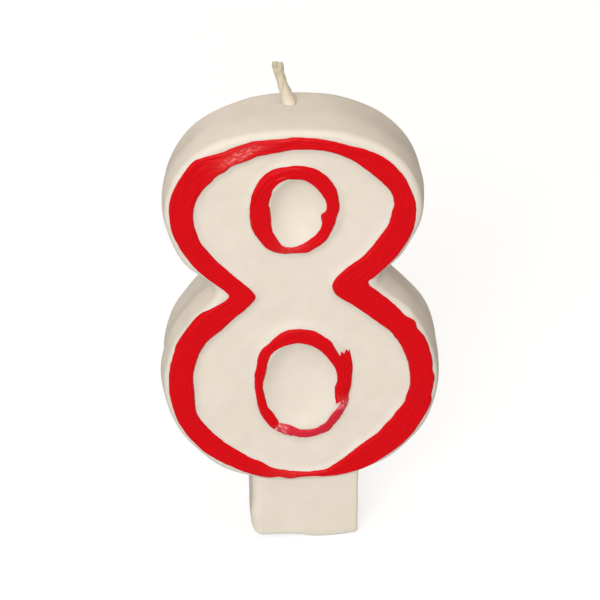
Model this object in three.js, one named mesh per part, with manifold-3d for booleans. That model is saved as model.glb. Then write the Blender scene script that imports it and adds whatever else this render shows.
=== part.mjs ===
// Number birthday candle: a cast wax figure 8 with brushed red outlines, a three-ply wick in a
// wax coat, and a push-in tab under the figure. Millimetres, +Z up, the front faces -Y.
// The origin is the centre of the tab's flat end, on the plane where the mould halves met.
//
// Every outline is drawn in a plane with x to the right, y up and z towards the front of the
// candle; the group at the end turns it all upright, so drawing y becomes +Z and drawing z -Y.

import * as THREE from 'three';
import { mergeVertices } from 'three/addons/utils/BufferGeometryUtils.js';
import Module from 'manifold-3d';

const wasm = await Module();
wasm.setup();

// ---- Driving dimensions -------------------------------------------------------------------

const FRONT_DEPTH = 9.4; // mould plane to the raised front lip
const REAR_DEPTH = 6.0; // mould plane to the flat back
const FRONT_CROWN = { length: 7.5, inset: 0.8 }; // slow rounding of the side towards the front
const REAR_ROUND = { length: 3.6, inset: 3.0 }; // full rounding of the back edge
const REAR_SHIFT = { x: 0.25, y: -0.2 }; // how far the back mould half sat off the front one
const REAR_INSET = 0.3; // the back half is this much smaller all round

const PANEL_DEPTH = 0.5; // face panel below the lip and the counter rings
const FRONT_DISH_DEPTH = 2.2; // blind counters, front, below the lip
const REAR_DISH_DEPTH = 1.2; // blind counters, back
const RING_LAND = 0.35; // lip left outside a counter ring's paint

const TAB = {
  left: -9.8, right: 9.3, rightTop: 9.9, top: 16, front: 7.7, rear: 4.6,
  leftRadius: 1.8, rightRadius: 0.6, edge: 0.9,
};

const PAINT_THICKNESS = 0.3;
const PAINT_GAP = 0.03; // between the lip and the paint on it
const STROKE_GAP = 0.2; // between strokes that meet end to side

const UPPER_RING = {
  outer: { x: -0.1, y: 67.9, rx: 7.2, ry: 8.1 },
  inner: { x: 0.4, y: 67.3, rx: 4.7, ry: 6.3 },
};
const LOWER_RING = {
  outer: { x: 0.0, y: 34.2, rx: 7.7, ry: 10.9 },
  inner: { x: -0.1, y: 33.3, rx: 6.2, ry: 9.1 },
};
const MAIN_STROKE_DEG = [22, 234]; // counter-clockwise from the right
const BOTTOM_STROKE_DEG = [238, 328];

const WICK = {
  bottom: 6, apex: 82.4, tipZ: 89.5, tipX: -1.7,
  plyRadius: 0.31, plyOrbit: 0.41, pitch: 9, stepsPerTurn: 8, plySides: 6,
};
const BORE = { radius: 1.05, bottom: 5.4, sides: 12 };
const COAT = {
  inner: 0.84, outer: 0.98, top: 88.9, gap: 0.05, sides: 12,
  collar: 1.45, collarHeight: 1.6, waist: 1.12, waistHeight: 0.5,
};

const SAMPLES_PER_SPAN = 4; // outline resolution between two control points

// The figure's largest outline, clockwise from the top. The two waists are not level.
const FIGURE_OUTLINE = [
  [0, 82.4], [8, 81.8], [15, 78.7], [20, 72.8], [21.5, 65.4], [18.6, 58.6],
  [15.2, 54.6], [14.2, 53], [15.1, 51.5],
  [19.5, 46.7], [22.8, 40.2], [23.9, 32.4], [21.6, 24.2], [15.8, 17.2], [8, 13.5],
  [0, 12.8], [-8, 13.5], [-15.5, 17.1], [-21.4, 24.4], [-23.7, 33.4], [-22, 41.4], [-18.1, 47.4],
  [-15.2, 50.1], [-14.2, 51.6], [-15.1, 53.3],
  [-19.2, 58.2], [-21.6, 65.6], [-20.5, 72.8], [-15.6, 79], [-8, 82],
];

// The outer edge of the brushed outline band, clockwise from the top.
const BAND_OUTLINE = [
  [0, 80.9], [6, 80.2], [12, 78.1], [17, 74], [19.7, 67], [18.3, 61], [15.4, 57],
  [12.4, 54], [12, 52.8], [12.8, 51.6],
  [17.4, 47.6], [21, 42.2], [22.3, 34.4], [21.2, 27.2], [17.4, 21.2], [11.5, 16.6], [6, 14.6],
  [0, 14.4], [-6, 14.8], [-12.2, 17], [-17.4, 21.2], [-21.1, 27.8], [-22.2, 34.2], [-21.2, 41.2],
  [-17.8, 47.2], [-13.6, 50.4], [-11.8, 52.1], [-12.4, 53.5],
  [-16, 57.2], [-19.2, 62.4], [-20.2, 68], [-18.8, 73.4], [-16, 77.3], [-12.4, 78.8], [-6, 80.4],
];

// Its inner edge, which is also the edge of the sunk face panel.
const PANEL_OUTLINE = [
  [0, 79], [6, 78.4], [11, 76.1], [14.6, 72.4], [15.8, 67.4], [14.5, 62.8], [10.7, 58.3],
  [6.6, 54.2], [5.4, 52.5], [6.8, 50.9],
  [12.2, 46.9], [16.4, 42], [18.4, 34.6], [17.1, 28.8], [12.4, 23], [7.4, 18.8], [3.2, 16.2],
  [-1.4, 15.8], [-7.5, 18.1], [-13.6, 22.4], [-17.4, 27.8], [-18.5, 34.4], [-17, 40.6], [-12.4, 45.5],
  [-8, 49.5], [-7, 51.5], [-8, 53.3],
  [-12.4, 58.1], [-15.8, 63.2], [-16.6, 68], [-14.9, 72.2], [-11.2, 75.4], [-6, 77.8],
];

// The broad stroke laid over the right side of the lower counter ring.
const SIDE_STROKE_OUTLINE = [
  [6.5, 39.8], [8.2, 40.1], [8.6, 36], [8.3, 31.6], [7.5, 28.6], [5.9, 28.6], [5.8, 32.6], [5.9, 36.2],
];

// ---- Materials ----------------------------------------------------------------------------

const candleWax = new THREE.MeshStandardMaterial({ color: 0xeae0d0, roughness: 0.42, metalness: 0 });
const redPaint = new THREE.MeshStandardMaterial({ color: 0xd9121c, roughness: 0.3, metalness: 0 });
const thinRedPaint = new THREE.MeshStandardMaterial({ color: 0xd4233c, roughness: 0.36, metalness: 0 });
const cotton = new THREE.MeshStandardMaterial({ color: 0xd8cdae, roughness: 0.85, metalness: 0 });
const wickWax = new THREE.MeshStandardMaterial({ color: 0xe3d9c2, roughness: 0.5, metalness: 0 });

// ---- Outlines -----------------------------------------------------------------------------

function smoothLoop(controlPoints) {
  const points = controlPoints.map(([x, y]) => new THREE.Vector3(x, y, 0));
  const curve = new THREE.CatmullRomCurve3(points, true, 'centripetal');
  const samples = curve.getPoints(controlPoints.length * SAMPLES_PER_SPAN);
  samples.pop();
  return samples.map((p) => new THREE.Vector2(p.x, p.y));
}

// Moves each point of a clockwise loop towards its inside by distance; negative grows the loop.
function insetLoop(loop, distance) {
  return loop.map((point, i) => {
    const before = loop[(i + loop.length - 1) % loop.length];
    const after = loop[(i + 1) % loop.length];
    const along = after.clone().sub(before).normalize();
    return new THREE.Vector2(point.x + along.y * distance, point.y - along.x * distance);
  });
}

function ellipseLoop({ x, y, rx, ry }, grow = 0, count = 36) {
  const curve = new THREE.EllipseCurve(x, y, rx + grow, ry + grow, 0, 2 * Math.PI, true);
  return curve.getPoints(count).slice(0, count);
}

// The stretch between two ellipses, from one angle to another, as one closed loop.
function ringSector({ outer, inner }, [fromDeg, toDeg], count = 22) {
  const arc = ({ x, y, rx, ry }, from, to) => {
    const [start, end] = [from, to].map(THREE.MathUtils.degToRad);
    return new THREE.EllipseCurve(x, y, rx, ry, start, end, from > to).getPoints(count);
  };
  return [...arc(outer, fromDeg, toDeg), ...arc(inner, toDeg, fromDeg)];
}

// ---- Solids -------------------------------------------------------------------------------

function toSolid(geometry) {
  geometry.deleteAttribute('normal');
  geometry.deleteAttribute('uv');
  const merged = mergeVertices(geometry, 1e-5);
  return new wasm.Manifold(new wasm.Mesh({
    numProp: 3,
    vertProperties: new Float32Array(merged.attributes.position.array),
    triVerts: new Uint32Array(merged.index.array),
  }));
}

// A straight plate between two depths, z from back to front, with loops as holes.
function plate(loop, back, front, holes = []) {
  const shape = new THREE.Shape(loop);
  shape.holes = holes.map((hole) => new THREE.Path(hole));
  const geometry = new THREE.ExtrudeGeometry(shape, { depth: front - back, bevelEnabled: false });
  return toSolid(geometry.translate(0, 0, back));
}

// Half a casting: the loop is its largest section, at the mould plane z = 0, and the side
// rounds in over the last rounding.length before the face at z = reach.
function castHalf(loop, reach, rounding) {
  const straight = reach - rounding.length;
  const geometry = new THREE.ExtrudeGeometry(new THREE.Shape(loop), {
    depth: 2 * straight,
    bevelThickness: rounding.length,
    bevelSize: rounding.inset,
    bevelOffset: -rounding.inset,
    bevelSegments: 4,
  });
  return toSolid(geometry.translate(0, 0, -straight)).intersect(block(60, 200, 0, reach + 1));
}

function block(halfWidth, height, back, front) {
  const geometry = new THREE.BoxGeometry(2 * halfWidth, height, front - back);
  return toSolid(geometry.translate(0, 0, (front + back) / 2));
}

// A half is cast facing forward; the back half is turned about the upright axis.
function turnedToBack(loop) {
  return loop.map((point) => new THREE.Vector2(-point.x, point.y)).reverse();
}

function dish({ x, y, rx, ry }, faceZ, depth) {
  const geometry = new THREE.SphereGeometry(1, 28, 14).rotateX(Math.PI / 2);
  return toSolid(geometry.scale(rx, ry, depth).translate(x, y, faceZ));
}

function solidMesh(name, solid, material) {
  const result = solid.getMesh();
  const geometry = new THREE.BufferGeometry();
  geometry.setAttribute('position', new THREE.BufferAttribute(result.vertProperties, 3));
  geometry.setIndex(new THREE.BufferAttribute(result.triVerts, 1));
  const mesh = new THREE.Mesh(geometry, material);
  mesh.name = name;
  return mesh;
}

// ---- Wax body -----------------------------------------------------------------------------

function tabLoop() {
  const { left, right, rightTop, top, leftRadius, rightRadius } = TAB;
  const path = new THREE.Path();
  path.moveTo(left, top);
  path.lineTo(rightTop, top);
  path.lineTo(right, rightRadius);
  path.quadraticCurveTo(right, 0, right - rightRadius, 0);
  path.lineTo(left + leftRadius, 0);
  path.quadraticCurveTo(left, 0, left, leftRadius);
  return path.getPoints(5);
}

// The tab's section seen from above, drawn with its front downwards: widest at the mould plane.
function tabSection() {
  const { left, rightTop, front, rear, edge } = TAB;
  const section = new THREE.Shape();
  section.moveTo(left, 0);
  section.lineTo(left + edge, -front);
  section.lineTo(rightTop - edge, -front);
  section.lineTo(rightTop, 0);
  section.lineTo(rightTop - edge, rear);
  section.lineTo(left + edge, rear);
  return section;
}

function tab() {
  const margin = 1;
  const depth = TAB.top + 2 * margin;
  const envelope = new THREE.ExtrudeGeometry(tabSection(), { depth, bevelEnabled: false });
  envelope.rotateX(-Math.PI / 2).translate(0, -margin, 0);
  return plate(tabLoop(), -TAB.rear, TAB.front).intersect(toSolid(envelope));
}

function wickBore() {
  const height = WICK.tipZ - BORE.bottom;
  const geometry = new THREE.CylinderGeometry(BORE.radius, BORE.radius, height, BORE.sides);
  return toSolid(geometry.translate(0, BORE.bottom + height / 2, 0));
}

function waxBody() {
  const outline = smoothLoop(FIGURE_OUTLINE);
  const rearOutline = insetLoop(outline, REAR_INSET).map((point) => point.clone().add(REAR_SHIFT));
  const turn = new THREE.Matrix4().makeRotationY(Math.PI);
  const front = castHalf(outline, FRONT_DEPTH, FRONT_CROWN);
  const rear = castHalf(turnedToBack(rearOutline), REAR_DEPTH, REAR_ROUND).transform(turn.elements);
  const panel = plate(
    smoothLoop(PANEL_OUTLINE), FRONT_DEPTH - PANEL_DEPTH, FRONT_DEPTH + 1,
    [UPPER_RING, LOWER_RING].map((ring) => ellipseLoop(ring.outer, RING_LAND).reverse()),
  );
  const dishes = [UPPER_RING, LOWER_RING].flatMap((ring) => [
    dish(ring.inner, FRONT_DEPTH, FRONT_DISH_DEPTH),
    dish(ring.inner, -REAR_DEPTH, REAR_DISH_DEPTH),
  ]);
  const cuts = wasm.Manifold.union([panel, ...dishes, wickBore()]);
  return front.add(rear).add(tab()).subtract(cuts);
}

// ---- Red outlines -------------------------------------------------------------------------

function painted(loop, holes = []) {
  const back = FRONT_DEPTH + PAINT_GAP;
  return plate(loop, back, back + PAINT_THICKNESS, holes);
}

function outlineBand() {
  return painted(smoothLoop(BAND_OUTLINE), [smoothLoop(PANEL_OUTLINE).reverse()]);
}

function upperRing() {
  return painted(ellipseLoop(UPPER_RING.outer), [ellipseLoop(UPPER_RING.inner).reverse()]);
}

function lowerRingStrokes() {
  const sideLoop = smoothLoop(SIDE_STROKE_OUTLINE);
  const side = painted(sideLoop);
  const around = plate(insetLoop(sideLoop, -STROKE_GAP), FRONT_DEPTH, FRONT_DEPTH + 1);
  return {
    side,
    main: painted(ringSector(LOWER_RING, MAIN_STROKE_DEG)).subtract(around),
    bottom: painted(ringSector(LOWER_RING, BOTTOM_STROKE_DEG)).subtract(around),
  };
}

// ---- Wick ---------------------------------------------------------------------------------

// The wick's middle line: straight up the bore, then leaning to the left above the wax.
function wickLine() {
  const { bottom, apex, tipX, tipZ } = WICK;
  const rise = tipZ - apex;
  return new THREE.CatmullRomCurve3([
    new THREE.Vector3(0, bottom, 0),
    new THREE.Vector3(0, apex / 2, 0),
    new THREE.Vector3(0, apex - rise, 0),
    new THREE.Vector3(0, apex, 0),
    new THREE.Vector3(0.55 * tipX, apex + 0.5 * rise, 0),
    new THREE.Vector3(tipX, tipZ, 0),
  ]);
}

function circle(radius, sides) {
  return new THREE.EllipseCurve(0, 0, radius, radius).getPoints(sides).slice(0, sides);
}

// One of three plies laid in a helix around the wick's middle line.
function ply(index) {
  const line = wickLine();
  const turns = line.getLength() / WICK.pitch;
  const steps = Math.round(turns * WICK.stepsPerTurn);
  const points = [];
  for (let i = 0; i <= steps; i += 1) {
    const u = i / steps;
    const angle = 2 * Math.PI * (turns * u + index / 3);
    const along = line.getTangentAt(u);
    const sideways = new THREE.Vector3(along.y, -along.x, 0);
    const point = line.getPointAt(u).addScaledVector(sideways, WICK.plyOrbit * Math.cos(angle));
    point.z += WICK.plyOrbit * Math.sin(angle);
    points.push(point);
  }
  const geometry = new THREE.ExtrudeGeometry(new THREE.Shape(circle(WICK.plyRadius, WICK.plySides)), {
    steps, extrudePath: new THREE.CatmullRomCurve3(points),
  });
  return toSolid(geometry);
}

// The wax that stiffens the free end of the wick, with the collar where it meets the figure.
function wickCoat() {
  const { inner, outer, top, gap, sides, collar, collarHeight, waist, waistHeight } = COAT;
  const line = wickLine();
  const start = (WICK.apex + gap - WICK.bottom) / line.getLength();
  const end = start + (top - WICK.apex) / line.getLength();
  const path = new THREE.CatmullRomCurve3([0, 0.2, 0.4, 0.6, 0.8, 1].map((k) => (
    line.getPointAt(THREE.MathUtils.lerp(start, end, k))
  )));
  const ring = new THREE.Shape(circle(outer, sides));
  ring.holes = [new THREE.Path(circle(inner, sides).reverse())];
  const tube = toSolid(new THREE.ExtrudeGeometry(ring, { steps: 10, extrudePath: path }));
  const seat = (inner + outer) / 2;
  const profile = [
    [seat, 0], [collar, 0], [waist, waistHeight], [outer, collarHeight], [seat, collarHeight], [seat, 0],
  ];
  const flare = new THREE.LatheGeometry(profile.map(([x, y]) => new THREE.Vector2(x, y)), 2 * sides);
  return tube.add(toSolid(flare.translate(0, WICK.apex + gap, 0)));
}

// ---- Assembly -----------------------------------------------------------------------------

const strokes = lowerRingStrokes();

const candle = new THREE.Group();
candle.name = 'number_candle_8';
candle.rotation.x = Math.PI / 2;
candle.add(solidMesh('wax_body', waxBody(), candleWax));
candle.add(solidMesh('outline_band', outlineBand(), redPaint));
candle.add(solidMesh('upper_counter_ring', upperRing(), redPaint));
candle.add(solidMesh('lower_counter_main_stroke', strokes.main, redPaint));
candle.add(solidMesh('lower_counter_side_stroke', strokes.side, redPaint));
candle.add(solidMesh('lower_counter_bottom_stroke', strokes.bottom, thinRedPaint));
for (let i = 0; i < 3; i += 1) {
  candle.add(solidMesh(`wick_ply_${i + 1}`, ply(i), cotton));
}
candle.add(solidMesh('wick_wax_coat', wickCoat(), wickWax));

export default candle;
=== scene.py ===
import math

import bpy
import numpy as np
from mathutils import Matrix, Vector


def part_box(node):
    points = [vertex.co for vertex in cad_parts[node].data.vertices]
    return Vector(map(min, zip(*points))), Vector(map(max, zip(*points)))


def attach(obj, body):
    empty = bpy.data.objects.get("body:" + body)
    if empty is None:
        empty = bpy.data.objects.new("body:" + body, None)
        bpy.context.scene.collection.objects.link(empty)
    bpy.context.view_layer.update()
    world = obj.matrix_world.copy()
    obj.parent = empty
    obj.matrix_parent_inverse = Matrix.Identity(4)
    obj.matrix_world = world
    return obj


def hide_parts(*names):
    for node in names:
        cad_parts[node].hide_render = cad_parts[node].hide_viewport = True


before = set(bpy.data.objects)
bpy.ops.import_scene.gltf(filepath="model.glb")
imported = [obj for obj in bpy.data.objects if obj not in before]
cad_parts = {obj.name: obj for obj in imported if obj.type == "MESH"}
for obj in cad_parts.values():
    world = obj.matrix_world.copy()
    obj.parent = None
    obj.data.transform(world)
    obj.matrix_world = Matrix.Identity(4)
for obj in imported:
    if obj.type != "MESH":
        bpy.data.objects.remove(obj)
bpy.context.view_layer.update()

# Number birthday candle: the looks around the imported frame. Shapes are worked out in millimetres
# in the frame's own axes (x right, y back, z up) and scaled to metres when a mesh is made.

MM = 0.001


def box_mm(node):
    low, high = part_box(node)
    return np.array(low) / MM, np.array(high) / MM


BODY_LOW, BODY_HIGH = box_mm("wax_body")
COAT_TOP = box_mm("wick_wax_coat")[1][2]
PAINT_FRONT = box_mm("outline_band")[0][1]

FRONT = BODY_LOW[1]  # the raised lip
BACK = BODY_HIGH[1]
APEX = BODY_HIGH[2]
DATUM = APEX - 82.4  # height of the outlines' zero line above the tab's end

# ---- Sizes, in millimetres ------------------------------------------------------------------

VOXEL = 0.28  # grid pitch of the wax surface
LIP_ROUND = 0.95  # radius of the lip's edge
BACK_ROUND = 3.4  # radius of the rear edge
CROWN = 0.75  # how far the side rounds in from the seam to the lip
CROWN_POWER = 1.6
NOTCH_HEIGHT = 53.2
NOTCH_SPREAD = 2.9
NOTCH_CROWN = 1.3  # extra rounding in at the waist's two notches
CREASE = 0.45  # depth of the seam's groove at full strength
CREASE_AT = -3.2  # the seam's y
CREASE_WIDTH = 0.9
LEFT_SEAM_FADE = (55, 62)  # heights between which the seam fades out
RIGHT_SEAM_FADE = (41, 46)
REAR_SHIFT = (0.25, -0.2)  # of the rear half's outline, in x and z
REAR_INSET = 0.3
# How far the rear half draws in at the left and the right shoulder: distance, height and spread.
REAR_SHOULDERS = ((-0.25, 41, 6), (1.1, 47.5, 4.5))
PANEL_DEPTH = 0.55  # of the sunk face behind the lip
PANEL_SLOPE = (-0.7, 1.2)  # distances inside the lip's inner edge between which the face sinks
BEAD_SLOPE = (-0.6, 1.3)  # distances outside a counter's bead between which the face sinks
BEAD_SINK = 0.04
FRONT_DISH = 1.8  # depth of the counters
REAR_DISH = 1.1
DISH_POWER = 2.8  # 2 is a round bowl, more is a flatter floor with steeper sides
DISH_LEAN = 0.35  # how much deeper a bowl is towards its top
BORE_RADIUS = 1.05
BORE_FLOOR = 5.4  # its height, in the outline's own heights
TAB_LEFT, TAB_RIGHT, TAB_RIGHT_TOP = -9.8, 9.3, 9.9
TAB_FRONT, TAB_REAR, TAB_TOP = -7.7, 4.6, 16.0
TAB_DRAFT = 0.3
TAB_LEAN = 0.4  # how far the tab's left edge leans in on its way up
TAB_BLEND = 0.9  # width of the fillet between the tab and the figure
LIP_REACH = 0.85  # paint stays this far inside the largest outline
PAINT = -(PAINT_FRONT - FRONT) * 0.8  # thickness of a full stroke

# The moulded bead round each counter: ellipses as centre x, z and radii x, z.
UPPER_RING = {"outer": (0.05, 67.4, 7.2, 8.1), "inner": (0.6, 66.9, 4.7, 6.4)}
LOWER_RING = {"outer": (0.0, 33.7, 7.7, 11.0), "inner": (-0.1, 33.0, 6.3, 9.0)}

# The figure's largest outline, clockwise from the top.
FIGURE_OUTLINE = [
    (0, 82.4), (8, 81.8), (15, 78.7), (20, 72.8), (21.5, 65.4), (18.6, 58.6),
    (15.8, 54.7), (14.9, 53), (15.8, 51.4),
    (19.6, 46.9), (22.8, 40.2), (23.9, 32.4), (21.6, 24.2), (15.8, 17.2), (8, 13.5),
    (0, 12.8), (-8, 13.5), (-15.5, 17.1), (-21.4, 24.4), (-23.7, 33.4), (-22, 41.4), (-18.2, 47.5),
    (-15.9, 50), (-15, 51.6), (-15.9, 53.4),
    (-19.3, 58.2), (-21.6, 65.6), (-20.5, 72.8), (-15.6, 79), (-8, 82),
]

# Where the brush went round the lip: its outer edge and its inner edge, clockwise from the top.
BAND_STATIONS = [
    (1.7, 80.7, 1.4, 78.6), (5.5, 80.1, 5.1, 78.2), (9.3, 78.9, 8.6, 76.9), (13, 77.5, 11.6, 74.6),
    (15.7, 75.6, 14, 72.3), (17.9, 72.7, 15.7, 70.1), (18.7, 70.9, 16.2, 68.6), (19.4, 69, 16.3, 67.6),
    (19.7, 67.1, 16, 66.5), (19.3, 63.3, 15.3, 63.9), (17.7, 59.6, 13.3, 60.8), (15.7, 57, 11.1, 58.1),
    (13.1, 54.3, 7.8, 55.5), (11.8, 53.5, 6.3, 53.8), (11.8, 52.8, 5.9, 52.6), (12.7, 51.8, 6.4, 51),
    (15.4, 49.2, 9.1, 48.9), (17.8, 46.4, 12.4, 46), (18.9, 45.5, 13.6, 44.9), (19.4, 44.9, 14.6, 44),
    (19.7, 43.8, 15.4, 43.2), (20.6, 42.5, 16.2, 42), (21.5, 40.5, 17.1, 40.4), (22.2, 37, 18.2, 37.2),
    (22.3, 35.2, 18.5, 35.4), (22.6, 33.7, 18.6, 33.8), (22.4, 31.9, 18.5, 31.9), (22.1, 30.3, 18, 30.1),
    (22.1, 28.6, 17.4, 28.6), (20.3, 24.8, 15.2, 25.5), (17.6, 20.9, 12.8, 22.6), (14.2, 18, 9.6, 20),
    (9.9, 15.3, 6.5, 17.3), (5.2, 14.2, 3.7, 15.5), (-0.2, 14.4, -0.3, 15.2), (-2.5, 14, -2.2, 15.4),
    (-4.2, 14.6, -3.9, 15.9), (-6.1, 14.5, -5.8, 16.5), (-7.8, 14.9, -7.2, 17.5), (-9.5, 15.6, -8.5, 18.3),
    (-13.4, 17.8, -11.5, 20.4), (-17.2, 20.8, -14.8, 23.5), (-20.2, 25.2, -17.4, 27.2),
    (-21.3, 28, -18, 29.1), (-22.2, 33.8, -18.1, 34), (-22, 36.4, -18.1, 36), (-21.5, 39, -17.6, 38.3),
    (-19.8, 43.9, -15.8, 42.3), (-17.1, 47.4, -12.6, 45.3), (-15.8, 48.5, -11.5, 46.4),
    (-14.5, 49.2, -10.4, 47.5), (-13.2, 50, -9.1, 48.5), (-11.7, 51, -7.7, 49.9),
    (-11.2, 51.7, -7, 50.9), (-11.8, 52.6, -7.4, 52.1), (-14.8, 55.3, -9.8, 54.8), (-17.8, 59.3, -13, 58.4),
    (-19.9, 64.4, -15.8, 62.9), (-20, 69.9, -16.4, 68), (-18.4, 73.7, -14.9, 71.6),
    (-16.9, 76, -13.2, 73.4), (-16, 77, -12.3, 74.3), (-14.8, 77.7, -11.2, 75),
    (-11.7, 78.5, -9.5, 76.2), (-8.3, 79.8, -6.8, 77.1), (-6.6, 80.3, -5.6, 77.7), (-4.7, 80.5, -4, 77.9),
    (-1.4, 80.6, -1.3, 78.4),
]

# The strokes round the two counters, as stations of outer edge and inner edge. The upper ring is one
# closed stroke; the lower one is a main stroke, a short one down its right side and a thin one below.
UPPER_RING_STATIONS = [
    (0.5, 75.5, 0.3, 73.3), (2.1, 75.3, 1.6, 73), (3.6, 74.8, 2.7, 72.3), (5, 73.7, 3.8, 71.2),
    (6.1, 72.4, 4.6, 70.1), (6.9, 70.8, 5.2, 69), (7.2, 68.9, 5.4, 68), (7.3, 67.3, 5.2, 67),
    (6.8, 65.9, 4.5, 66.1), (6.5, 64.6, 4.4, 65.4), (5.9, 63.3, 4.5, 64.4), (5.2, 61.8, 3.7, 62.8),
    (4.1, 60.7, 2.6, 61.7), (2.9, 59.9, 1.7, 61.1), (2, 59.4, 0.9, 60.8), (0.7, 59.4, -0.1, 60.5),
    (-0.6, 59.4, -1.1, 60.5), (-1.9, 59.3, -2, 60.8), (-3.4, 59.6, -2.6, 61.5), (-4.7, 60.4, -3.2, 62.6),
    (-5.8, 62, -3.7, 63.6), (-6.7, 63.7, -3.9, 64.8), (-7.1, 64.9, -3.9, 66.1), (-7.2, 66.8, -4, 67.6),
    (-7, 68.9, -4.1, 68.9), (-6.7, 70.5, -3.8, 70.3), (-6, 72, -3.5, 71.3), (-5.2, 73.3, -2.9, 72.1),
    (-4, 74.4, -2.2, 72.8), (-2.5, 75.2, -1.2, 73.2), (-1.1, 75.4, -0.4, 73.3),
]
MAIN_STROKE_STATIONS = [
    (-4.7, 24.2, -3.9, 25.4), (-5.6, 25.2, -4.2, 26.3), (-6.4, 26.5, -5, 27.8), (-7.1, 28.1, -5.8, 29.2),
    (-7.4, 30.1, -6.1, 30.7), (-7.6, 32, -6.4, 32.3), (-7.7, 34.2, -6.4, 34), (-7.6, 35.9, -6, 35.6),
    (-7.2, 37.7, -5.7, 37), (-6.9, 39.1, -5.5, 38.3), (-6.3, 40.5, -4.9, 39.7), (-4.8, 42.1, -3.8, 40.7),
    (-3.5, 43.4, -2.6, 41.4), (-2.1, 44.2, -1.5, 41.6), (-0.7, 44.5, -0.4, 41.8), (0.8, 44.4, 0.7, 41.6),
    (2.4, 44, 1.9, 41.2), (3.9, 43, 3.1, 40.5), (5.2, 41.8, 4.1, 39.5), (6, 40.3, 5, 38.1),
    (6.6, 39, 5.8, 36.7), (7.1, 37.5, 6.2, 35.5), (7.3, 35.6, 6.2, 33.9), (7.3, 33.6, 5.8, 32.3),
    (7.1, 31.6, 5.8, 30.8), (6.8, 29.7, 6, 29.2),
]
SIDE_STROKE_STATIONS = [
    (8.4, 40, 6.9, 39.4), (8.6, 38.2, 6.8, 37.9), (8.8, 36.2, 6.6, 36.1), (8.7, 34.4, 6.4, 34.3),
    (8.4, 32.4, 6.2, 32.5), (8.1, 30.9, 6, 31.1), (7.9, 29.3, 6.2, 29.5),
]
BOTTOM_STROKE_STATIONS = [
    (8, 30.4, 6.9, 30.2), (7.8, 29, 6.4, 28.8), (7.3, 27.8, 5.7, 27.8), (6.5, 26.2, 4.9, 26.6),
    (5.4, 24.7, 4, 25.4), (4.6, 23.5, 2.9, 24.5), (2.8, 22.8, 1.6, 24.1), (1.1, 22.5, 0.4, 24),
    (-0.4, 22.6, -0.7, 24.2), (-1.9, 23, -1.8, 24.8), (-3, 23.2, -2.6, 25.2), (-4.6, 24.2, -4, 25.6),
]

# ---- Curves and noise -----------------------------------------------------------------------


def spline(points, per_span, closed):
    """Centripetal Catmull-Rom through points of any dimension, per_span samples to a span."""
    p = np.array(points, float)
    if closed:
        p = np.vstack([p[-1], p, p[0], p[1]])
    else:
        p = np.vstack([2 * p[0] - p[1], p, 2 * p[-1] - p[-2]])
    rows = []
    u = np.linspace(0, 1, per_span, endpoint=False)[:, None]
    for a, b, c, d in zip(p[:-3], p[1:-2], p[2:-1], p[3:]):
        t1 = np.linalg.norm(b - a) ** 0.5
        t2 = t1 + np.linalg.norm(c - b) ** 0.5
        t3 = t2 + np.linalg.norm(d - c) ** 0.5
        t = t1 + (t2 - t1) * u
        ab = (t1 - t) / t1 * a + t / t1 * b
        bc = (t2 - t) / (t2 - t1) * b + (t - t1) / (t2 - t1) * c
        cd = (t3 - t) / (t3 - t2) * c + (t - t2) / (t3 - t2) * d
        abc = (t2 - t) / t2 * ab + t / t2 * bc
        bcd = (t3 - t) / (t3 - t1) * bc + (t - t1) / (t3 - t1) * cd
        rows.append((t2 - t) / (t2 - t1) * abc + (t - t1) / (t2 - t1) * bcd)
    if not closed:
        rows.append(p[-2][None, :])
    return np.vstack(rows)


def waves(points, wavelength, seed, count=14):
    """Smooth noise of about unit size: a sum of plane waves near one wavelength."""
    rng = np.random.default_rng(seed)
    points = np.atleast_2d(points)
    total = np.zeros(len(points))
    for _ in range(count):
        direction = rng.normal(size=points.shape[1])
        direction /= np.linalg.norm(direction)
        k = 2 * math.pi / (wavelength * rng.uniform(0.7, 1.6))
        total += np.sin(points @ (direction * k) + rng.uniform(0, 2 * math.pi))
    return total * math.sqrt(2 / count)


def step(low, high, value):
    t = np.clip((value - low) / (high - low), 0, 1)
    return t * t * (3 - 2 * t)


def bell(value, centre, width):
    return np.exp(-((value - centre) / width) ** 2)


# ---- Distance fields of the outlines --------------------------------------------------------


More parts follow.
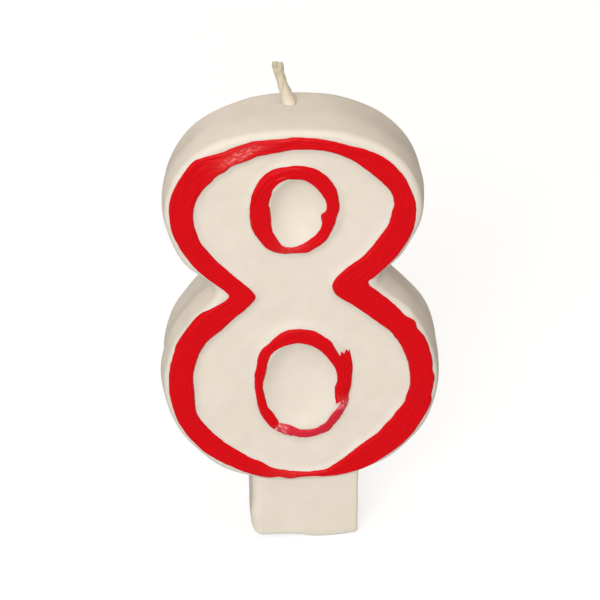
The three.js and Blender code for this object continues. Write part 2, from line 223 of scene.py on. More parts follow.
class OutlineField:
    """Distance to a closed outline in the x-z plane, positive inside it, on a fine grid."""

    PITCH = 0.2
    LOW = np.array([-27.0, -3.0])
    HIGH = np.array([27.0, 86.0])

    def __init__(self, loop):
        counts = np.ceil((self.HIGH - self.LOW) / self.PITCH).astype(int) + 1
        xs = self.LOW[0] + self.PITCH * np.arange(counts[0])
        zs = self.LOW[1] + self.PITCH * np.arange(counts[1])
        gx, gz = np.meshgrid(xs, zs, indexing="ij")
        query = np.stack([gx.ravel(), gz.ravel()], 1).astype(np.float32)
        a = loop.astype(np.float32)
        b = np.roll(a, -1, axis=0)
        ab = b - a
        length2 = (ab * ab).sum(1)
        out = np.empty(len(query), np.float32)
        for i in range(0, len(query), 4000):
            q = query[i:i + 4000]
            dx = q[:, None, 0] - a[None, :, 0]
            dz = q[:, None, 1] - a[None, :, 1]
            t = np.clip((dx * ab[:, 0] + dz * ab[:, 1]) / length2, 0, 1)
            d2 = (dx - t * ab[:, 0]) ** 2 + (dz - t * ab[:, 1]) ** 2
            crosses = (a[:, 1] > q[:, None, 1]) != (b[:, 1] > q[:, None, 1])
            cut_x = a[:, 0] + (q[:, None, 1] - a[:, 1]) / np.where(ab[:, 1] == 0, 1, ab[:, 1]) * ab[:, 0]
            inside = (np.count_nonzero(crosses & (q[:, None, 0] < cut_x), axis=1) % 2) == 1
            distance = np.sqrt(d2.min(1))
            out[i:i + 4000] = np.where(inside, distance, -distance)
        self.grid = out.reshape(gx.shape).astype(float)

    def at(self, x, z):
        fx = np.clip((x - self.LOW[0]) / self.PITCH, 0, self.grid.shape[0] - 1.001)
        fz = np.clip((z - self.LOW[1]) / self.PITCH, 0, self.grid.shape[1] - 1.001)
        ix, iz = fx.astype(int), fz.astype(int)
        tx, tz = fx - ix, fz - iz
        g = self.grid
        low = g[ix, iz] * (1 - tx) + g[ix + 1, iz] * tx
        high = g[ix, iz + 1] * (1 - tx) + g[ix + 1, iz + 1] * tx
        return low * (1 - tz) + high * tz


FIGURE = OutlineField(spline(FIGURE_OUTLINE, 20, True))
# The uneven lower end of the tab, as x and height above its lowest point.
TAB_END = spline([
    (-10.5, 0.95), (-8, 0.8), (-5, 0.72), (-2, 0.66), (-0.3, 0.42), (1.6, 0.08), (4.2, 0.02), (6.2, 0.08),
    (7.8, 0.3), (10.5, 0.6),
], 8, False)
BAND = spline(BAND_STATIONS, 16, True)
PANEL = OutlineField(BAND[::4, 2:])


def ellipse_distance(x, z, ellipse):
    """Roughly the distance outside an ellipse, negative inside."""
    cx, cz, rx, rz = ellipse
    radius = np.sqrt(((x - cx) / rx) ** 2 + ((z - cz) / rz) ** 2)
    return (radius - 1) * min(rx, rz)


def bowl(x, z, ellipse, depth):
    cx, cz, rx, rz = ellipse
    radius = np.sqrt(((x - cx) / rx) ** 2 + ((z - cz) / rz) ** 2)
    lean = 1 + DISH_LEAN * np.clip((z - cz) / rz, -1, 1)
    return depth * lean * (1 - radius ** DISH_POWER)


# ---- The wax body as one implicit solid -----------------------------------------------------


def round_meet(p, q, radius):
    """Meet of two insides (positive within) with a rounded edge."""
    corner = radius - np.hypot(np.maximum(radius - p, 0), np.maximum(radius - q, 0))
    return np.where((p < radius) & (q < radius), corner, np.minimum(p, q))


def smooth_join(p, q, width):
    h = np.clip(0.5 + 0.5 * (p - q) / width, 0, 1)
    return q + (p - q) * h + width * h * (1 - h)


def front_recess(x, z):
    """How far the face lies behind the lip."""
    recess = PANEL_DEPTH * step(*PANEL_SLOPE, PANEL.at(x, z))
    for ring in (UPPER_RING, LOWER_RING):
        outside = ellipse_distance(x, z, ring["outer"])
        recess = recess * step(*BEAD_SLOPE, outside) + BEAD_SINK
        recess = smooth_join(recess, bowl(x, z, ring["inner"], FRONT_DISH), 0.35)
    xz = np.stack([x, z], 1)
    return recess + 0.05 * waves(xz, 13, 1) + 0.016 * waves(xz, 4, 2)


def rear_recess(x, z):
    """How far the back lies in front of its highest level."""
    sink = 0.3 * step(2.5, 9, FIGURE.at(x, z))
    for ring in (UPPER_RING, LOWER_RING):
        sink = smooth_join(sink, bowl(x, z, ring["inner"], REAR_DISH), 0.5)
    xz = np.stack([x, z], 1)
    return np.maximum(sink + 0.06 * waves(xz, 11, 3) + 0.02 * waves(xz, 4, 4), -0.02)


def front_side(x, y, z):
    """Distance inside the front half, which rounds in towards the lip."""
    forward = np.clip((CREASE_AT - y) / (CREASE_AT - FRONT), 0, 1)
    crown = CROWN + NOTCH_CROWN * bell(z, NOTCH_HEIGHT, NOTCH_SPREAD)
    return FIGURE.at(x, z) - crown * forward ** CROWN_POWER


def rear_side(x, z):
    """Distance inside the rear half, which draws in at the shoulders and rises at the summit."""
    left = x < 0
    insets = [inset * bell(z, height, spread) for inset, height, spread in REAR_SHOULDERS]
    low_shoulder = np.where(left, *insets)
    high_shoulder = step(66, 76, z) * step(5, 15, np.abs(x)) * np.where(left, 0.6, 0.25)
    summit = 0.4 * step(70, 78, z) * bell(x, 1.5, 6)
    outline = FIGURE.at(x - REAR_SHIFT[0], z - REAR_SHIFT[1])
    return outline - REAR_INSET - low_shoulder - high_shoulder + summit


def seam_groove(x, y, z, plain):
    """Depth of the seam's groove, which is strongest at the left shoulder and the notches."""
    left = x < 0
    strength = np.where(left, 0.2 + 0.25 * bell(z, 44, 7), 0.15) * (1 - plain)
    strength = strength + np.where(left, 0.6, 0.2) * bell(z, 51.5, 2.2)
    return CREASE * strength * bell(y, CREASE_AT, CREASE_WIDTH)


def figure_inside(x, y, z):
    """Positive inside the cast figure, in the outline's own heights."""
    right_plain = np.where(x < 0, 0.25, step(*RIGHT_SEAM_FADE, z))
    plain = np.maximum(step(*LEFT_SEAM_FADE, z), right_plain)  # 1 where no seam shows
    turn = step(CREASE_AT - 0.3 - 3 * plain, CREASE_AT + 0.9 + 6 * plain, y)
    front = front_side(x, y, z)
    wobble = 0.05 * waves(np.stack([x, y, z], 1), 9, 5)
    side = front + (rear_side(x, z) - front) * turn - seam_groove(x, y, z, plain) + wobble
    face = y - FRONT - np.maximum(front_recess(x, z), 0)
    back = BACK - y - rear_recess(x, z)
    return round_meet(round_meet(side, face, LIP_ROUND), back, BACK_ROUND)


def tab_inside(x, y, z):
    """Positive inside the push-in tab, in the outline's own heights."""
    right = TAB_RIGHT + (TAB_RIGHT_TOP - TAB_RIGHT) * np.clip(z / TAB_TOP, 0, 1)
    draft = TAB_DRAFT * np.abs(y) / -TAB_FRONT
    ripple = 0.05 * waves(np.stack([y, z], 1), 7, 6)
    from_left = x - TAB_LEFT - TAB_LEAN * step(3, 11, z) - draft + ripple
    from_right = right - draft - x + 0.04 * waves(np.stack([y, z], 1), 7, 9)
    lowest = np.interp(x, TAB_END[:, 0], TAB_END[:, 1])
    end = z + DATUM - lowest - 0.02 * waves(np.stack([x, y], 1), 4, 7)
    front = y - TAB_FRONT + 0.04 * waves(np.stack([x, z], 1), 9, 8)
    left_front = round_meet(from_left, front, 1.6)
    solid = round_meet(round_meet(from_left, end, 2.0), from_right, 0.5)
    solid = np.minimum(round_meet(solid, front, 0.45), left_front)
    solid = round_meet(solid, TAB_REAR - y, 0.9)
    return np.minimum(solid, TAB_TOP - z)


def wax_inside(points):
    """Positive inside the wax body, at rows of x, y, z."""
    x, y = points[:, 0], points[:, 1]
    z = points[:, 2] - DATUM
    solid = smooth_join(figure_inside(x, y, z), tab_inside(x, y, z), TAB_BLEND)
    bore = np.where(z > BORE_FLOOR, BORE_RADIUS - np.hypot(x, y), -1)
    return np.minimum(solid, -bore)


# ---- Meshes ---------------------------------------------------------------------------------


def surface_nets(inside, low, high, pitch):
    """A quad mesh of the surface inside(points) = 0, one vertex to a cell that it crosses."""
    counts = np.ceil((high - low) / pitch).astype(int) + 1
    axes = [low[i] + pitch * np.arange(counts[i]) for i in range(3)]
    values = np.empty(counts)
    gx, gz = np.meshgrid(axes[0], axes[2], indexing="ij")
    for j, y in enumerate(axes[1]):
        points = np.stack([gx.ravel(), np.full(gx.size, y), gz.ravel()], 1)
        values[:, j, :] = inside(points).reshape(gx.shape)
    cells = counts - 1
    strides = np.array([cells[1] * cells[2], cells[2], 1])
    total = np.zeros((cells.prod(), 3))
    hits = np.zeros(cells.prod())
    quads = []
    for axis in range(3):
        u, v = (axis + 1) % 3, (axis + 2) % 3
        first = np.take(values, range(counts[axis] - 1), axis)
        second = np.take(values, range(1, counts[axis]), axis)
        at = np.argwhere((first > 0) != (second > 0))
        index = tuple(at.T)
        a, b = first[index], second[index]
        spot = at.astype(float)
        spot[:, axis] += a / (a - b)
        ring = []
        for du, dv in ((0, 0), (-1, 0), (-1, -1), (0, -1)):
            cell = at.copy()
            cell[:, u] += du
            cell[:, v] += dv
            flat = cell @ strides
            for k in range(3):
                total[:, k] += np.bincount(flat, spot[:, k], len(total))
            hits += np.bincount(flat, minlength=len(hits))
            ring.append(flat)
        ring = np.stack(ring, 1)
        ring[a <= 0] = ring[a <= 0][:, ::-1]
        quads.append(ring)
    used = np.flatnonzero(hits)
    number = np.full(len(hits), -1)
    number[used] = np.arange(len(used))
    vertices = low + pitch * total[used] / hits[used, None]
    return vertices, number[np.vstack(quads)]


def settle(vertices, inside, limit, rounds=3, probe=0.04):
    """Moves vertices on to the true surface."""
    for _ in range(rounds):
        value = inside(vertices)
        slope = np.empty_like(vertices)
        for k in range(3):
            offset = np.zeros(3)
            offset[k] = probe
            slope[:, k] = (inside(vertices + offset) - inside(vertices - offset)) / (2 * probe)
        size2 = np.maximum((slope ** 2).sum(1), 0.2)
        move = -slope * (value / size2)[:, None]
        far = np.maximum(np.linalg.norm(move, axis=1) / limit, 1)
        vertices = vertices + move / far[:, None]
    return vertices


def make_mesh(name, vertices_mm, faces, attributes=None):
    mesh = bpy.data.meshes.new(name)
    scaled = (np.asarray(vertices_mm) * MM).tolist()
    mesh.from_pydata(scaled, [], [list(map(int, face)) for face in faces])
    for key, values in (attributes or {}).items():
        scalar = np.ndim(values) == 1
        layer = mesh.attributes.new(key, "FLOAT" if scalar else "FLOAT_VECTOR", "POINT")
        layer.data.foreach_set("value" if scalar else "vector", np.ravel(values).astype(np.float32))
    mesh.validate()
    mesh.shade_smooth()
    mesh.set_sharp_from_angle(angle=math.radians(62))
    obj = bpy.data.objects.new(name, mesh)
    bpy.context.scene.collection.objects.link(obj)
    return obj


def stand_for(piece, slot, *nodes):
    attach(piece, "root")
    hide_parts(*nodes)


# ---- Materials ------------------------------------------------------------------------------


class Nodes:
    """Short spelling for building one material's node tree."""

    def __init__(self, name):
        self.material = bpy.data.materials.new(name)
        self.material.use_nodes = True
        self.tree = self.material.node_tree
        self.shader = self.tree.nodes["Principled BSDF"]
        self.place = self.add("ShaderNodeTexCoord").outputs["Object"]

    def add(self, kind, **settings):
        node = self.tree.nodes.new(kind)
        for key, value in settings.items():
            setattr(node, key, value)
        return node

    def link(self, source, target):
        self.tree.links.new(source, target)

    def noise(self, scale, detail=3.0, roughness=0.55, vector=None, stretch=None):
        node = self.add("ShaderNodeTexNoise")
        node.inputs["Scale"].default_value = scale
        node.inputs["Detail"].default_value = detail
        node.inputs["Roughness"].default_value = roughness
        source = vector or self.place
        if stretch:
            mapping = self.add("ShaderNodeMapping")
            mapping.inputs["Scale"].default_value = stretch
            self.link(source, mapping.inputs["Vector"])
            source = mapping.outputs["Vector"]
        self.link(source, node.inputs["Vector"])
        return node.outputs["Fac"]

    def remap(self, value, low, high, to_low, to_high):
        node = self.add("ShaderNodeMapRange")
        for key, number in (("From Min", low), ("From Max", high), ("To Min", to_low), ("To Max", to_high)):
            node.inputs[key].default_value = number
        self.link(value, node.inputs["Value"])
        return node.outputs["Result"]

    def math(self, operation, a, b):
        node = self.add("ShaderNodeMath", operation=operation)
        for socket, value in zip(node.inputs, (a, b)):
            if isinstance(value, (int, float)):
                socket.default_value = value
            else:
                self.link(value, socket)
        return node.outputs["Value"]

    def mix(self, factor, first, second):
        node = self.add("ShaderNodeMix", data_type="RGBA")
        self.link(factor, node.inputs["Factor"])
        for socket, value in ((node.inputs[6], first), (node.inputs[7], second)):
            if isinstance(value, tuple):
                socket.default_value = value
            else:
                self.link(value, socket)
        return node.outputs[2]

    def attribute(self, name, output="Fac"):
        return self.add("ShaderNodeAttribute", attribute_name=name).outputs[output]

    def bump(self, layers):
        """layers are (height, distance in metres, strength), from coarse to fine."""
        normal = None
        for height, distance, strength in layers:
            node = self.add("ShaderNodeBump")
            node.inputs["Strength"].default_value = strength
            node.inputs["Distance"].default_value = distance
            self.link(height, node.inputs["Height"])
            if normal:
                self.link(normal, node.inputs["Normal"])
            normal = node.outputs["Normal"]
        self.link(normal, self.shader.inputs["Normal"])

    def set(self, **values):
        for key, value in values.items():
            self.shader.inputs[key.replace("_", " ")].default_value = value


def srgb(red, green, blue):
    def linear(value):
        value /= 255
        return value / 12.92 if value <= 0.04045 else ((value + 0.055) / 1.055) ** 2.4
    return (linear(red), linear(green), linear(blue), 1.0)


# Base colours, as 8-bit sRGB.
WAX_PALE, WAX_WARM, WAX_MOTTLE = srgb(232, 224, 213), srgb(229, 222, 209), srgb(221, 211, 197)
# The worn reds are the pale pink of bare wax under thin paint, and also serve as painted glints on the
# bristle ridges.
RED, RED_WORN_AND_GLINT = srgb(217, 5, 18), srgb(246, 128, 126)
THIN_RED, THIN_RED_WORN_AND_GLINT = srgb(214, 18, 50), srgb(244, 150, 156)
COTTON_DARK, COTTON_PALE = srgb(190, 181, 153), srgb(214, 205, 181)
COAT_DARK, COAT_PALE = srgb(204, 194, 170), srgb(220, 210, 188)
# The second colour on the next line is painted shade, for where the coat dips between the plies.
COAT_FOOT, COAT_GROOVE_SHADE = srgb(226, 216, 200), srgb(184, 172, 144)
WAX_SCATTER = (1.0, 0.75, 0.5)  # how far red, green and blue spread inside wax, relative to each other


def wax_material():
    n = Nodes("candle_wax")
    cloud = n.remap(n.noise(70, 2), 0.35, 0.65, 0, 1)
    base = n.mix(cloud, WAX_PALE, WAX_WARM)
    mottle = n.remap(n.noise(420, 4), 0.4, 0.75, 0, 0.35)
    n.link(n.mix(mottle, base, WAX_MOTTLE), n.shader.inputs["Base Color"])
    n.link(n.remap(n.noise(160, 4), 0.3, 0.7, 0.38, 0.55), n.shader.inputs["Roughness"])
    n.bump([
        (n.noise(90, 2), 0.00025, 0.35),
        (n.noise(900, 3), 0.00006, 0.35),
    ])
    n.set(Subsurface_Weight=0.35, Subsurface_Scale=0.0025, IOR=1.44, Specular_IOR_Level=0.28)
    n.set(Subsurface_Radius=WAX_SCATTER)
    return n.material


def red_material(name, full, worn_and_glint):
    """Brushed wax paint: streaks run along the stroke, and thin places let the wax show. Pale dashes there
    are partly bare wax and partly painted glints.
    """
    n = Nodes(name)
    stroke = n.attribute("stroke", "Vector")
    streak = n.noise(1.0, 3, vector=stroke, stretch=(0.14, 3.2, 1.0))
    # Short pale dashes along the stroke: partly bare wax where the brush ran short of paint, partly painted
    # glints on the bristle ridges.
    glint_dash = n.noise(1.0, 2, vector=stroke, stretch=(0.9, 3.4, 1.0))
    patch = n.noise(1.0, 3, vector=stroke, stretch=(0.5, 0.9, 1.0))
    deep = tuple(c * 0.9 for c in full[:3]) + (1.0,)
    tone = n.mix(n.remap(streak, 0.36, 0.64, 0, 1), full, deep)
    tone = n.mix(n.remap(patch, 0.4, 0.7, 0, 0.5), tone, deep)
    thin = n.attribute("thin")
    glint_dash_lifted = n.math("ADD", glint_dash, n.math("MULTIPLY", thin, 0.05))
    dry_gaps_and_glints = n.math("MULTIPLY", n.remap(thin, 0, 1, 0.2, 1.0), n.remap(glint_dash_lifted, 0.55, 0.6, 0.0, 1.0))
    sheer = n.math("MULTIPLY", thin, 0.22)
    bare_wax_and_glint = n.math("MAXIMUM", n.math("MULTIPLY", dry_gaps_and_glints, n.remap(thin, 0.15, 0.5, 0, 0.9)), sheer)
    n.link(n.mix(bare_wax_and_glint, tone, worn_and_glint), n.shader.inputs["Base Color"])
    n.link(n.remap(streak, 0.3, 0.7, 0.3, 0.48), n.shader.inputs["Roughness"])
    n.bump([
        (streak, 0.00008, 0.45),
        (n.noise(500, 3), 0.00005, 0.3),
    ])
    n.set(IOR=1.47, Specular_IOR_Level=0.12)
    return n.material


def cotton_material():
    n = Nodes("wick_cotton")
    fibre = n.noise(1.0, 3, vector=n.attribute("turn", "Vector"), stretch=(2.2, 9.0, 1.0))
    tone = n.mix(n.remap(fibre, 0.3, 0.7, 0, 1), COTTON_DARK, COTTON_PALE)
    n.link(tone, n.shader.inputs["Base Color"])
    n.link(n.remap(fibre, 0.3, 0.7, 0.75, 0.95), n.shader.inputs["Roughness"])
    n.bump([(fibre, 0.00006, 0.7)])
    n.set(Sheen_Weight=0.25)
    return n.material


def wick_wax_material():
    n = Nodes("wick_wax")
    cloud = n.noise(1.0, 3, vector=n.attribute("turn", "Vector"), stretch=(0.9, 1.6, 1.0))
    tint = n.mix(n.remap(cloud, 0.3, 0.7, 0, 1), COAT_DARK, COAT_PALE)
    tint = n.mix(n.attribute("low"), tint, COAT_FOOT)
    # Painted shade: the coat darkens where it dips between the plies.
    n.link(n.mix(n.attribute("groove_shade"), tint, COAT_GROOVE_SHADE), n.shader.inputs["Base Color"])
    n.link(n.remap(cloud, 0.3, 0.7, 0.42, 0.62), n.shader.inputs["Roughness"])
    n.bump([(cloud, 0.00006, 0.4)])
    n.set(Subsurface_Weight=0.25, Subsurface_Scale=0.0015, Subsurface_Radius=WAX_SCATTER, IOR=1.44)
    return n.material


# ---- Wax body -------------------------------------------------------------------------------


def make_wax_body():
    margin = 3 * VOXEL
    vertices, quads = surface_nets(wax_inside, BODY_LOW - margin, BODY_HIGH + margin, VOXEL)
    vertices = settle(vertices, wax_inside, VOXEL)
    vertices = np.clip(vertices, BODY_LOW, BODY_HIGH)
    body = make_mesh("wax_body_cast", vertices, quads)
    body.data.materials.append(wax_material())
    stand_for(body, "candle_wax", "wax_body")


def front_surface(x, z):
    """The y where the wax body's front lies at each x, z, by halving the space round it."""
    outer = np.full(len(x), FRONT - 1.5)
    inner = np.full(len(x), FRONT + 4.5)
    for _ in range(16):
        middle = (outer + inner) / 2
        hit = wax_inside(np.stack([x, middle, z], 1)) > 0
        inner = np.where(hit, middle, inner)
        outer = np.where(hit, outer, middle)
    return inner


# ---- Red strokes ----------------------------------------------------------------------------

OVERLAP = 0.1  # how far a stroke reaches past the edges picked for it
BURIED = 0.12  # how far its underside lies in the wax
SHOULDER = 0.42  # distance from its edge at which it has its full thickness
RIM_AT, RIM_WIDTH, RIM_RISE = 0.4, 0.25, 0.16  # the thicker rim along its edge
RIDGE_PITCH, RIDGE_RISE = 0.55, 0.11  # the ridges left by the bristles


def keep_on_lip(x, z):
    """Draws points in towards the face until they are on the lip or its rounded edge."""
    probe = 0.3
    for _ in range(3):
        inside = FIGURE.at(x, z)
        slope_x = (FIGURE.at(x + probe, z) - FIGURE.at(x - probe, z)) / (2 * probe)
        slope_z = (FIGURE.at(x, z + probe) - FIGURE.at(x, z - probe)) / (2 * probe)
        short = np.maximum(LIP_REACH - inside, 0)
        x = x + slope_x * short
        z = z + slope_z * short
    return x, z


def waver(loop, coarse, fine, seed):
    """How far a stroke's edge wanders, in two wavelengths."""
    return 0.025 * waves(loop, coarse, seed) + 0.014 * waves(loop, fine, seed + 1)


def ragged_ends(flat, along, bristle, reach, seed):
    """Shortens every bristle's track by its own amount; reach is a share of the stroke's length."""
    head = reach * (0.5 + 0.5 * waves(bristle, 0.7, seed)).clip(0, 1.4)
    tail = 1 - reach * (0.5 + 0.5 * waves(bristle, 0.6, seed + 1)).clip(0, 1.4)
    for column in range(flat.shape[1]):
        at = head[column] + (tail[column] - head[column]) * along
        for axis in range(2):
            flat[:, column, axis] = np.interp(at, along, flat[:, column, axis])


def slab_faces(count, across, closed):
    """Faces of a slab: a top and an underside of count rows by across + 1 vertices, and its sides."""
    row = across + 1
    offset = count * row
    first = np.arange(count if closed else count - 1)
    i, j = np.meshgrid(first * row, np.arange(across), indexing="ij")
    i, j = i.ravel(), j.ravel()
    k = (i + row) % offset
    quad = np.stack([i + j, i + j + 1, k + j + 1, k + j], 1)
    i = first * row
    k = (i + row) % offset
    faces = [
        quad, quad[:, ::-1] + offset,
        np.stack([i, k, k + offset, i + offset], 1),
        np.stack([k, i, i + offset, k + offset], 1) + across,
    ]
    if not closed:
        j = np.arange(across)
        faces.append(np.stack([j + 1, j, j + offset, j + 1 + offset], 1))
        faces.append(np.stack([j, j + 1, j + 1 + offset, j + offset], 1) + (count - 1) * row)
    return np.vstack(faces)


def brush(
    node, edges, closed, material, slot, thickness, thin, seed, across=22, rough=0.0, rag=0.0,
):
    """A stroke of paint laid on the wax between two edges: rows of outer and inner x, z in the
    outline's heights. thickness and thin are functions of (along, across) from 0 to 1. rough is how
    far bristles reach past the outer edge, and rag how unevenly an open stroke ends."""
    outer, inner = edges[:, :2], edges[:, 2:]
    count = len(outer)
    ends = np.roll(outer, -1, axis=0) - outer
    run = np.concatenate([[0], np.cumsum(np.linalg.norm(ends[:-1], axis=1))])
    length = run[-1] + (np.linalg.norm(ends[-1]) if closed else 0)
    along = run / length
    v = np.linspace(0, 1, across + 1)
    grid_u, grid_v = np.meshgrid(along, v, indexing="ij")
    span = inner - outer
    width = np.linalg.norm(span, axis=1, keepdims=True)
    loop = np.stack([run, 0 * run], 1)
    if closed:
        turn = 2 * math.pi * along
        loop = np.stack([np.cos(turn), np.sin(turn)], 1) * length / (2 * math.pi)
    edge_out = waver(loop, 3.5, 1.2, seed) - OVERLAP - rough * np.abs(waves(loop, 0.5, seed + 7))
    edge_in = waver(loop, 3, 1.1, seed + 2) + OVERLAP
    direction = span / width
    start = outer + direction * edge_out[:, None]
    stop = inner + direction * edge_in[:, None]
    flat = start[:, None, :] + (stop - start)[:, None, :] * v[None, :, None]
    if rag:
        ragged_ends(flat, along, v[:, None] * float(width.mean()), rag / length, seed + 5)
    x, z = keep_on_lip(flat[..., 0].ravel(), flat[..., 1].ravel())
    z = z + DATUM
    ground = front_surface(x, z)
    u, v = grid_u.ravel(), grid_v.ravel()
    across_mm = (grid_v * width).ravel()
    stroke = np.stack([u * length, across_mm, 0 * across_mm], 1)
    edge = np.minimum(across_mm, (width * (1 - grid_v)).ravel())
    if not closed:
        edge = np.minimum(edge, np.minimum(u, 1 - u) * length)
    swell = np.sqrt(np.clip(1 - (1 - np.clip(edge / SHOULDER, 0, 1)) ** 2, 0, 1))
    rim = 1 + RIM_RISE * bell(edge, RIM_AT, RIM_WIDTH)
    ridges = 1 + RIDGE_RISE * waves(stroke[:, :2] * np.array([0.12, 1.0]), RIDGE_PITCH, seed + 4)
    height = thickness(u, v) * swell * rim * ridges
    top = np.stack([x, ground - height, z], 1)
    under = np.stack([x, ground + BURIED, z], 1)
    vertices = np.vstack([top, under])
    vertices[:, 1] = np.maximum(vertices[:, 1], PAINT_FRONT)
    piece = make_mesh(f"{node}_brushed", vertices, slab_faces(count, across, closed), {
        "stroke": np.vstack([stroke, stroke]),
        "thin": np.tile(thin(u, v), 2),
    })
    piece.data.materials.append(material)
    stand_for(piece, slot, node)


def bump_at(u, centre, width):
    """A bell round one place of a closed stroke, where u runs from 0 to 1 and starts again."""
    distance = np.abs(u - centre)
    return bell(np.minimum(distance, 1 - distance), 0, width)


DRY_GLINT_AT = 0.945  # where round the band the brush ran out of paint, and where its pale dashes also paint glints on the ridges
THIN_AT = 0.5  # and where it barely touched


def make_outline_band(material):
    def thickness(u, v):
        return PAINT * (1 - 0.5 * bump_at(u, THIN_AT, 0.035))

    def thin(u, v):
        lane = 0.5 - 7 * (u - DRY_GLINT_AT)
        dry_glint_patch = 1.05 * bump_at(u, DRY_GLINT_AT, 0.023) * bell(v, lane, 0.28)
        return np.clip(dry_glint_patch + 0.25 * bump_at(u, THIN_AT, 0.02), 0, 1)

    brush("outline_band", BAND, True, material, "red_paint", thickness, thin, seed=20, across=26)


def make_upper_ring(material):
    brush(
        "upper_counter_ring", spline(UPPER_RING_STATIONS, 18, True), True, material, "red_paint",
        lambda u, v: PAINT * (1 - 0.3 * bump_at(u, THIN_AT, 0.07)),
        lambda u, v: 0.35 * bump_at(u, THIN_AT, 0.07), seed=40,
    )


def make_lower_strokes(material, thin_material):
    brush(
        "lower_counter_main_stroke", spline(MAIN_STROKE_STATIONS, 18, False), False, material, "red_paint",
        lambda u, v: PAINT * (0.9 - 0.3 * step(0.93, 1, u)),
        lambda u, v: 0.3 * step(0.03, 0, u), seed=60, rag=0.12,
    )
    brush(
        "lower_counter_bottom_stroke", spline(BOTTOM_STROKE_STATIONS, 24, False), False,
        thin_material, "thin_red_paint",
        lambda u, v: 0.5 * PAINT + 0 * u,
        lambda u, v: np.clip(0.22 + 0.7 * step(0.17, 0.06, u) + 0.5 * step(0.84, 0.94, u), 0, 1),
        seed=80, across=18, rough=0.07, rag=0.3,
    )
    brush(
        "lower_counter_side_stroke", spline(SIDE_STROKE_STATIONS, 50, False), False, material, "red_paint",
        lambda u, v: PAINT * (1.2 - 0.5 * step(0.8, 1, u)),
        lambda u, v: 0.45 * step(0.8, 1, u), seed=100, rag=0.6,
    )


# ---- Wick -----------------------------------------------------------------------------------

WICK_ROWS = 200
WICK_PITCH = 8.0  # height of one turn of the plies
WICK_TIP = (-1.68, 89.7 + DATUM)
WICK_CUT = (0.15, 0.62)  # how far the cut drops to the right and to the back, per millimetre
COAT_RADIUS, COAT_SIDES = 0.93, 60
COAT_FOOT_DEPTH = 1.2  # how far the coat reaches into the body
PLIES = 3
PLY_RADIUS, PLY_SIDES = 0.36, 28
PLY_ORBIT = 0.42  # distance of a ply's centre from the wick's
PLY_FOOT_DEPTH = 7
YARNS, YARN_PITCH = 5, 2.4  # yarns in a ply, and the height of one turn of them


def wick_end(points):
    """Height of the slanting cut at each point."""
    return WICK_TIP[1] - WICK_CUT[0] * (points[:, 0] - WICK_TIP[0]) - WICK_CUT[1] * points[:, 1]


def wick_line(count):
    """The wick's course in x and z at even steps, and how far along it each step is."""
    rise = WICK_TIP[1] - APEX
    points = [
        (0, APEX - 8), (0, APEX - 3), (0, APEX - 0.2), (0.28 * WICK_TIP[0], APEX + 0.22 * rise),
        (0.56 * WICK_TIP[0], APEX + 0.45 * rise), (0.82 * WICK_TIP[0], APEX + 0.71 * rise),
        (WICK_TIP[0], WICK_TIP[1]), (1.03 * WICK_TIP[0], WICK_TIP[1] + 1.2),
    ]
    line = spline(points, 60, False)
    run = np.concatenate([[0], np.cumsum(np.linalg.norm(np.diff(line, axis=0), axis=1))])
    even = np.linspace(0, run[-1], count)
    return np.stack([np.interp(even, run, line[:, 0]), np.interp(even, run, line[:, 1])], 1), even


def wick_course(sides):
    """Rows of centres and sideways directions, heights above the wax, and grids of run and angle."""
    line, run = wick_line(WICK_ROWS)
    tangent = np.gradient(line, axis=0)
    tangent /= np.linalg.norm(tangent, axis=1, keepdims=True)
    sideways = np.stack([tangent[:, 1], 0 * run, -tangent[:, 0]], 1)
    centre = np.stack([line[:, 0], 0 * run, line[:, 1]], 1)
    angle = np.linspace(0, 2 * math.pi, sides, endpoint=False)
    return centre, sideways, centre[:, 2] - APEX, *np.meshgrid(run, angle, indexing="ij")


def tube(centre, sideways, radius):
    """Vertices and faces of a closed tube: centre rows of x, y, z; radius rows by columns around."""
    rows, around = radius.shape
    angle = np.linspace(0, 2 * math.pi, around, endpoint=False)
    across = np.array([0.0, 1.0, 0.0])
    ring = sideways[:, None, :] * np.cos(angle)[None, :, None] + across * np.sin(angle)[None, :, None]
    vertices = (centre[:, None, :] + ring * radius[..., None]).reshape(-1, 3)
    i, j = np.meshgrid(around * np.arange(rows - 1), np.arange(around), indexing="ij")
    i, j = i.ravel(), j.ravel()
    k = (j + 1) % around
    faces = np.stack([i + j, i + k, i + around + k, i + around + j], 1).tolist()
    faces.append(list(range(around))[::-1])
    faces.append([(rows - 1) * around + j for j in range(around)])
    return vertices, faces


def make_wick_coat(material):
    """The wax on the wick: it flares at its foot and shows the plies' twist further up."""
    centre, sideways, above, run, angle = wick_course(COAT_SIDES)
    flare = 0.24 * np.exp(-np.clip(above, 0, None) / 0.6) - 0.14 * step(1.5, 4, above)
    flare = flare + 0.1 * step(5, 7, above)
    lobes = np.abs(np.sin(PLIES / 2 * (angle - 2 * math.pi * run / WICK_PITCH)))
    wrap = np.stack([run, 0.9 * np.cos(angle), 0.9 * np.sin(angle)], -1).reshape(-1, 3)
    lumps = 0.03 * waves(wrap, 1.6, 200).reshape(run.shape)
    show = step(0.5, 3.0, above)[:, None]
    radius = COAT_RADIUS + flare[:, None] + show * 0.09 * (lobes - 0.6) + lumps
    keep = (above > -COAT_FOOT_DEPTH) & (centre[:, 2] < COAT_TOP + 0.2)
    vertices, faces = tube(centre[keep], sideways[keep], radius[keep])
    coat = make_mesh("wick_wax_coat_poured", vertices, faces, {
        "turn": np.stack([run, 0.9 * angle, 0 * angle], -1)[keep].reshape(-1, 3),
        # painted shade where the coat dips between the plies
        "groove_shade": 0.6 * (show * step(0.35, 0.0, lobes))[keep].ravel(),
        "low": np.repeat(step(3.5, 0.3, above)[keep], COAT_SIDES),
    })
    coat.data.materials.append(material)
    stand_for(coat, "wick_wax", "wick_wax_coat")


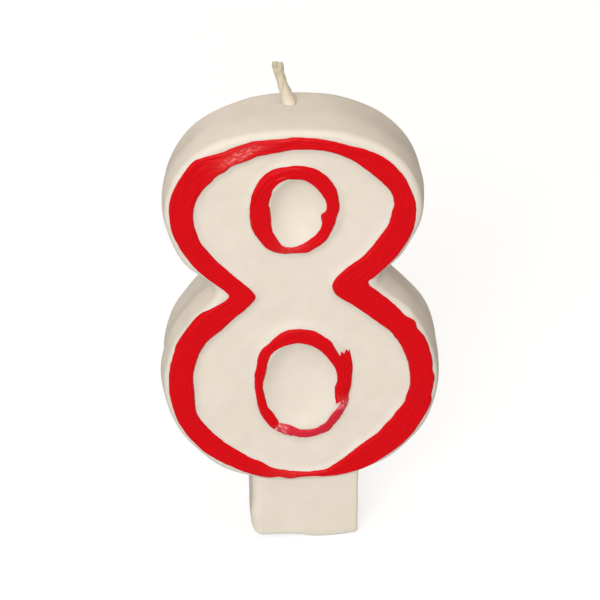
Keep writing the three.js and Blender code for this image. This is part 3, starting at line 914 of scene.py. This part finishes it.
def make_wick_plies(material):
    """Twisted cotton plies that loosen towards the cut."""
    centre, sideways, above, run, angle = wick_course(PLY_SIDES)
    yarn = np.abs(np.sin(YARNS / 2 * (angle + 2 * math.pi * run / YARN_PITCH)))
    thickness = PLY_RADIUS + 0.14 * step(5, 6.5, above)[:, None] + 0.035 * (yarn - 0.6)
    orbit = (PLY_ORBIT + 0.05 * step(5.5, 7, above))[:, None]
    for index in range(PLIES):
        twist = (2 * math.pi * run[:, 0] / WICK_PITCH + 2 * math.pi * index / PLIES)[:, None]
        middle = centre + orbit * (sideways * np.cos(twist) + np.array([0, 1.0, 0]) * np.sin(twist))
        keep = (above > -PLY_FOOT_DEPTH) & (middle[:, 2] < wick_end(middle) - 0.05)
        vertices, faces = tube(middle[keep], sideways[keep], thickness[keep])
        last = vertices[-PLY_SIDES:]
        last[:, 2] = wick_end(last)
        ply = make_mesh(f"wick_ply_{index + 1}_twisted", vertices, faces, {
            "turn": np.stack([run, PLY_RADIUS * angle, 0 * angle], -1)[keep].reshape(-1, 3),
        })
        ply.data.materials.append(material)
        stand_for(ply, "cotton", f"wick_ply_{index + 1}")


# ---- Stage, light and camera: metres and degrees --------------------------------------------

FLOOR_HALF = 4.0
FLOOR_TONE = 0.45
# A glow that the camera alone sees, so that the pale floor does not light the candle from below.
FLOOR_GLOW = 0.68
LIGHT_SIZE, LIGHT_DISTANCE = 0.8, 1.2
# Each light's name, elevation, azimuth, power and colour.
LIGHTS = (
    ("key", 27, -14, 10.1, (1, 1, 1)),
    ("top", 76, 5, 1.7, (1, 0.88, 0.76)),
    ("rear", 8, -168, 1.7, (1, 0.95, 0.88)),
)
SURROUND, SURROUND_STRENGTH = (1.0, 0.92, 0.83, 1), 0.46
CAMERA_ELEVATION, CAMERA_AZIMUTH, CAMERA_ROLL = 32, -1, 2.1
CAMERA_DISTANCE = 0.43
CAMERA_TARGET = Vector((0.5, -4, 47.0 + DATUM)) * MM
LENS, SENSOR = 153.5, 36


def direction_to(elevation, azimuth):
    """Unit vector from the candle; azimuth 0 is its front and grows towards the right."""
    e, a = math.radians(elevation), math.radians(azimuth)
    return Vector((math.sin(a) * math.cos(e), -math.cos(a) * math.cos(e), math.sin(e)))


def floor_material():
    n = Nodes("pale_floor")
    pale, warm = (FLOOR_TONE,) * 3 + (1.0,), (FLOOR_TONE * 0.97,) * 3 + (1.0,)
    n.link(n.mix(n.noise(6, 2), pale, warm), n.shader.inputs["Base Color"])
    n.link(n.remap(n.noise(40, 3), 0.3, 0.7, 0.8, 0.9), n.shader.inputs["Roughness"])
    n.set(Emission_Color=(1, 1, 1, 1))
    seen = n.add("ShaderNodeLightPath").outputs["Is Camera Ray"]
    n.link(n.math("MULTIPLY", seen, FLOOR_GLOW), n.shader.inputs["Emission Strength"])
    return n.material


def make_stage():
    corners = FLOOR_HALF * np.array([(-1, -1, 0), (1, -1, 0), (1, 1, 0), (-1, 1, 0)])
    floor = make_mesh("floor", corners / MM, [(0, 1, 2, 3)])
    floor.data.materials.append(floor_material())


def make_lights():
    centre = Vector((0, 0, 0.5 * APEX * MM))
    for name, elevation, azimuth, power, colour in LIGHTS:
        data = bpy.data.lights.new(name, "AREA")
        data.shape = "DISK"
        data.size = LIGHT_SIZE
        data.energy = power
        data.color = colour
        light = bpy.data.objects.new(name, data)
        light.location = centre + LIGHT_DISTANCE * direction_to(elevation, azimuth)
        light.rotation_euler = (centre - light.location).to_track_quat("-Z", "Y").to_euler()
        bpy.context.scene.collection.objects.link(light)
    world = bpy.data.worlds.new("studio")
    world.use_nodes = True
    background = world.node_tree.nodes["Background"]
    background.inputs["Color"].default_value = SURROUND
    background.inputs["Strength"].default_value = SURROUND_STRENGTH
    bpy.context.scene.world = world


def make_camera():
    back = direction_to(CAMERA_ELEVATION, CAMERA_AZIMUTH)
    roll = math.radians(CAMERA_ROLL)
    right = (-back).cross(Vector((0, 0, 1))).normalized()
    up = right.cross(-back)
    turned_right = right * math.cos(roll) - up * math.sin(roll)
    turned_up = right * math.sin(roll) + up * math.cos(roll)
    data = bpy.data.cameras.new("camera")
    data.sensor_width = SENSOR
    data.lens = LENS
    data.clip_start = 0.01
    camera = bpy.data.objects.new("camera", data)
    axes = Matrix((turned_right, turned_up, back)).transposed()
    camera.matrix_world = Matrix.Translation(CAMERA_TARGET + back * CAMERA_DISTANCE) @ axes.to_4x4()
    bpy.context.scene.collection.objects.link(camera)
    bpy.context.scene.camera = camera


make_camera()
make_lights()
make_stage()
make_wax_body()
red = red_material("red_wax_paint", RED, RED_WORN_AND_GLINT)
make_outline_band(red)
make_upper_ring(red)
make_lower_strokes(red, red_material("thin_red_wax_paint", THIN_RED, THIN_RED_WORN_AND_GLINT))
wick_cotton = cotton_material()
make_wick_coat(wick_wax_material())
make_wick_plies(wick_cotton)
bpy.context.scene.view_settings.view_transform = "Standard"
